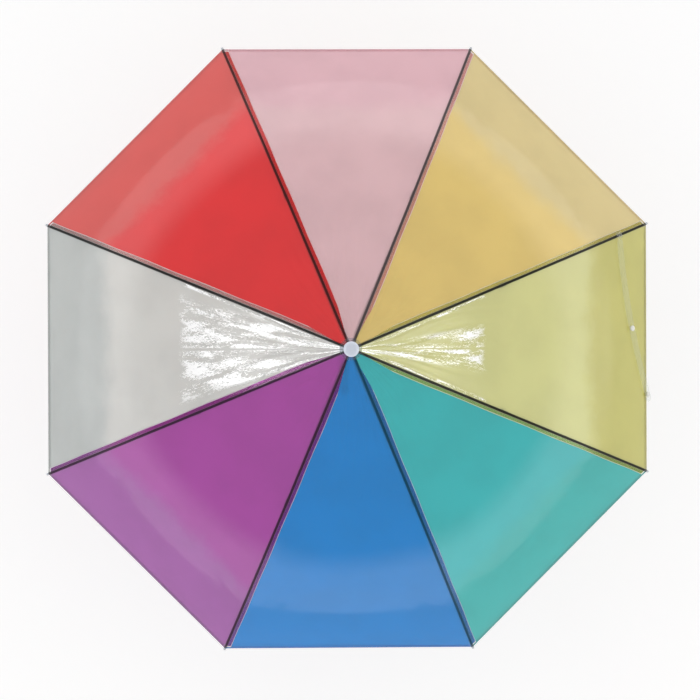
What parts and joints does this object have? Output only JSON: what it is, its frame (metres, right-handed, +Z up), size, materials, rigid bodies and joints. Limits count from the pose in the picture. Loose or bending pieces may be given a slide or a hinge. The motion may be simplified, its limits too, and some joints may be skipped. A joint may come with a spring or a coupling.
{
  "type": "umbrella",
  "caption": "Child's stick umbrella with welded translucent film panels, folding steel ribs, runner, catches and a J-hook handle.",
  "frame": {"origin": "on the shaft's axis at the middle of the hand grip", "axes": "+Z up the shaft towards the ferrule; +X through the middle of the pale lime panel; the hook turns towards -Y"},
  "size_m": [0.8208, 0.816, 0.7012],
  "materials": {
    "black_steel": "satin",
    "bright_steel": "satin",
    "white_plastic": "gloss",
    "tip_plastic": "satin",
    "clear_film": "gloss",
    "film_amber": "gloss",
    "film_pink": "gloss",
    "film_red": "gloss",
    "film_clear": "gloss",
    "film_purple": "gloss",
    "film_blue": "gloss",
    "film_teal": "gloss",
    "film_lime": "gloss"
  },
  "bodies": {
    "pole": {"shaft": "bright_steel", "top_notch": "white_plastic", "notch_wire": "bright_steel", "crown_washer": "clear_film", "ferrule_cap": "white_plastic", "handle_collar": "white_plastic", "handle": "white_plastic"},
    "rib_1": {"rib_1": "black_steel", "rib_tip_1": "tip_plastic", "rib_clip_1": "black_steel", "strap_tab": "clear_film"},
    "stretcher_1": {"stretcher_1": "black_steel"},
    "rib_2": {"rib_2": "black_steel", "rib_tip_2": "tip_plastic", "rib_clip_2": "black_steel"},
    "stretcher_2": {"stretcher_2": "black_steel"},
    "rib_3": {"rib_3": "black_steel", "rib_tip_3": "tip_plastic", "rib_clip_3": "black_steel"},
    "stretcher_3": {"stretcher_3": "black_steel"},
    "rib_4": {"rib_4": "black_steel", "rib_tip_4": "tip_plastic", "rib_clip_4": "black_steel"},
    "stretcher_4": {"stretcher_4": "black_steel"},
    "rib_5": {"rib_5": "black_steel", "rib_tip_5": "tip_plastic", "rib_clip_5": "black_steel"},
    "stretcher_5": {"stretcher_5": "black_steel"},
    "rib_6": {"rib_6": "black_steel", "rib_tip_6": "tip_plastic", "rib_clip_6": "black_steel"},
    "stretcher_6": {"stretcher_6": "black_steel"},
    "rib_7": {"rib_7": "black_steel", "rib_tip_7": "tip_plastic", "rib_clip_7": "black_steel"},
    "stretcher_7": {"stretcher_7": "black_steel"},
    "rib_8": {"rib_8": "black_steel", "rib_tip_8": "tip_plastic", "rib_clip_8": "black_steel"},
    "stretcher_8": {"stretcher_8": "black_steel"},
    "runner": {"runner": "white_plastic", "runner_wire": "bright_steel"},
    "film_amber": {"panel_amber": "film_amber"},
    "film_pink": {"panel_pink": "film_pink"},
    "film_red": {"panel_red": "film_red"},
    "film_clear": {"panel_clear": "film_clear"},
    "film_purple": {"panel_purple": "film_purple"},
    "film_blue": {"panel_blue": "film_blue"},
    "film_teal": {"panel_teal": "film_teal"},
    "film_lime": {"panel_lime": "film_lime"},
    "strap": {"closing_strap": "clear_film", "snap_stud": "white_plastic", "snap_socket": "white_plastic"},
    "upper_catch": {"upper_catch": "bright_steel"},
    "lower_catch": {"lower_catch": "bright_steel"}
  },
  "joints": [
    {"name": "canopy_fold", "type": "hinge", "parent": "pole", "child": "rib_1", "pos_m": [0.00831, 0.00344, 0.575], "axis": [-0.3827, 0.9239, 0], "range_deg": [0, 59.5], "deforming": ["panel_amber", "panel_pink", "panel_red", "panel_clear", "panel_purple", "panel_blue", "panel_teal", "panel_lime", "closing_strap", "upper_catch", "lower_catch"]},
    {"name": "rib_2_fold", "type": "hinge", "parent": "pole", "child": "rib_2", "pos_m": [0.00344, 0.00831, 0.575], "axis": [-0.9239, 0.3827, 0], "range_deg": [0, 59.5]},
    {"name": "rib_3_fold", "type": "hinge", "parent": "pole", "child": "rib_3", "pos_m": [-0.00344, 0.00831, 0.575], "axis": [-0.9239, -0.3827, 0], "range_deg": [0, 59.5]},
    {"name": "rib_4_fold", "type": "hinge", "parent": "pole", "child": "rib_4", "pos_m": [-0.00831, 0.00344, 0.575], "axis": [-0.3827, -0.9239, 0], "range_deg": [0, 59.5]},
    {"name": "rib_5_fold", "type": "hinge", "parent": "pole", "child": "rib_5", "pos_m": [-0.00831, -0.00344, 0.575], "axis": [0.3827, -0.9239, 0], "range_deg": [0, 59.5]},
    {"name": "rib_6_fold", "type": "hinge", "parent": "pole", "child": "rib_6", "pos_m": [-0.00344, -0.00831, 0.575], "axis": [0.9239, -0.3827, 0], "range_deg": [0, 59.5]},
    {"name": "rib_7_fold", "type": "hinge", "parent": "pole", "child": "rib_7", "pos_m": [0.00344, -0.00831, 0.575], "axis": [0.9239, 0.3827, 0], "range_deg": [0, 59.5]},
    {"name": "rib_8_fold", "type": "hinge", "parent": "pole", "child": "rib_8", "pos_m": [0.00831, -0.00344, 0.575], "axis": [0.3827, 0.9239, 0], "range_deg": [0, 59.5]},
    {"name": "stretcher_1_pivot", "type": "hinge", "parent": "rib_1", "child": "stretcher_1", "pos_m": [0.19217, 0.0796, 0.49659], "axis": [-0.3827, 0.9239, 0], "range_deg": [-119, 0]},
    {"name": "stretcher_2_pivot", "type": "hinge", "parent": "rib_2", "child": "stretcher_2", "pos_m": [0.0796, 0.19217, 0.49659], "axis": [-0.9239, 0.3827, 0], "range_deg": [-119, 0]},
    {"name": "stretcher_3_pivot", "type": "hinge", "parent": "rib_3", "child": "stretcher_3", "pos_m": [-0.0796, 0.19217, 0.49659], "axis": [-0.9239, -0.3827, 0], "range_deg": [-119, 0]},
    {"name": "stretcher_4_pivot", "type": "hinge", "parent": "rib_4", "child": "stretcher_4", "pos_m": [-0.19217, 0.0796, 0.49659], "axis": [-0.3827, -0.9239, 0], "range_deg": [-119, 0]},
    {"name": "stretcher_5_pivot", "type": "hinge", "parent": "rib_5", "child": "stretcher_5", "pos_m": [-0.19217, -0.0796, 0.49659], "axis": [0.3827, -0.9239, 0], "range_deg": [-119, 0]},
    {"name": "stretcher_6_pivot", "type": "hinge", "parent": "rib_6", "child": "stretcher_6", "pos_m": [-0.0796, -0.19217, 0.49659], "axis": [0.9239, -0.3827, 0], "range_deg": [-119, 0]},
    {"name": "stretcher_7_pivot", "type": "hinge", "parent": "rib_7", "child": "stretcher_7", "pos_m": [0.0796, -0.19217, 0.49659], "axis": [0.9239, 0.3827, 0], "range_deg": [-119, 0]},
    {"name": "stretcher_8_pivot", "type": "hinge", "parent": "rib_8", "child": "stretcher_8", "pos_m": [0.19217, -0.0796, 0.49659], "axis": [0.3827, 0.9239, 0], "range_deg": [-119, 0]},
    {"name": "runner_travel", "type": "hinge", "parent": "stretcher_1", "child": "runner", "pos_m": [0.00831, 0.00344, 0.41818], "axis": [-0.3827, 0.9239, 0], "range_deg": [0, 59.5]},
    {"name": "film_amber_fold", "type": "hinge", "parent": "rib_1", "child": "film_amber", "pos_m": [-0.16638, -0.16638, 0.44561], "axis": [-0.6253, -0.6253, -0.4669], "range_deg": [0, 43.8]},
    {"name": "film_pink_fold", "type": "hinge", "parent": "rib_2", "child": "film_pink", "pos_m": [0, -0.2353, 0.44561], "axis": [0, -0.8843, -0.4669], "range_deg": [0, 43.8]},
    {"name": "film_red_fold", "type": "hinge", "parent": "rib_3", "child": "film_red", "pos_m": [0.16638, -0.16638, 0.44561], "axis": [0.6253, -0.6253, -0.4669], "range_deg": [0, 43.8]},
    {"name": "film_clear_fold", "type": "hinge", "parent": "rib_4", "child": "film_clear", "pos_m": [0.2353, 0, 0.44561], "axis": [0.8843, 0, -0.4669], "range_deg": [0, 43.8]},
    {"name": "film_purple_fold", "type": "hinge", "parent": "rib_5", "child": "film_purple", "pos_m": [0.16638, 0.16638, 0.44561], "axis": [0.6253, 0.6253, -0.4669], "range_deg": [0, 43.8]},
    {"name": "film_blue_fold", "type": "hinge", "parent": "rib_6", "child": "film_blue", "pos_m": [0, 0.2353, 0.44561], "axis": [0, 0.8843, -0.4669], "range_deg": [0, 43.8]},
    {"name": "film_teal_fold", "type": "hinge", "parent": "rib_7", "child": "film_teal", "pos_m": [-0.16638, 0.16638, 0.44561], "axis": [-0.6253, 0.6253, -0.4669], "range_deg": [0, 43.8]},
    {"name": "film_lime_fold", "type": "hinge", "parent": "rib_8", "child": "film_lime", "pos_m": [-0.2353, 0, 0.44561], "axis": [-0.8843, 0, -0.4669], "range_deg": [0, 43.8]},
    {"name": "strap_swing", "type": "hinge", "parent": "rib_1", "child": "strap", "pos_m": [0.36123, 0.14963, 0.38045], "axis": [0.4971, -0.0164, 0.8675], "range_deg": [0, 91.76]},
    {"name": "upper_catch_press", "type": "slide", "parent": "pole", "child": "upper_catch", "axis": [-1, 0, 0], "range_m": [0, 0.0033], "stiffness_N_per_m": 300, "springref_m": -0.002},
    {"name": "lower_catch_press", "type": "slide", "parent": "pole", "child": "lower_catch", "axis": [-1, 0, 0], "range_m": [0, 0.0033], "stiffness_N_per_m": 300, "springref_m": -0.002}
  ],
  "couplings": [
    {"joint": "rib_2_fold", "follows": "canopy_fold", "ratio": 1},
    {"joint": "rib_3_fold", "follows": "canopy_fold", "ratio": 1},
    {"joint": "rib_4_fold", "follows": "canopy_fold", "ratio": 1},
    {"joint": "rib_5_fold", "follows": "canopy_fold", "ratio": 1},
    {"joint": "rib_6_fold", "follows": "canopy_fold", "ratio": 1},
    {"joint": "rib_7_fold", "follows": "canopy_fold", "ratio": 1},
    {"joint": "rib_8_fold", "follows": "canopy_fold", "ratio": 1},
    {"joint": "stretcher_1_pivot", "follows": "canopy_fold", "ratio": -2},
    {"joint": "stretcher_2_pivot", "follows": "canopy_fold", "ratio": -2},
    {"joint": "stretcher_3_pivot", "follows": "canopy_fold", "ratio": -2},
    {"joint": "stretcher_4_pivot", "follows": "canopy_fold", "ratio": -2},
    {"joint": "stretcher_5_pivot", "follows": "canopy_fold", "ratio": -2},
    {"joint": "stretcher_6_pivot", "follows": "canopy_fold", "ratio": -2},
    {"joint": "stretcher_7_pivot", "follows": "canopy_fold", "ratio": -2},
    {"joint": "stretcher_8_pivot", "follows": "canopy_fold", "ratio": -2},
    {"joint": "runner_travel", "follows": "canopy_fold", "ratio": 1},
    {"joint": "film_amber_fold", "follows": "canopy_fold", "ratio": 0.73591},
    {"joint": "film_pink_fold", "follows": "canopy_fold", "ratio": 0.73591},
    {"joint": "film_red_fold", "follows": "canopy_fold", "ratio": 0.73591},
    {"joint": "film_clear_fold", "follows": "canopy_fold", "ratio": 0.73591},
    {"joint": "film_purple_fold", "follows": "canopy_fold", "ratio": 0.73591},
    {"joint": "film_blue_fold", "follows": "canopy_fold", "ratio": 0.73591},
    {"joint": "film_teal_fold", "follows": "canopy_fold", "ratio": 0.73591},
    {"joint": "film_lime_fold", "follows": "canopy_fold", "ratio": 0.73591},
    {"joint": "strap_swing", "follows": "canopy_fold", "ratio": 1.542}
  ]
}
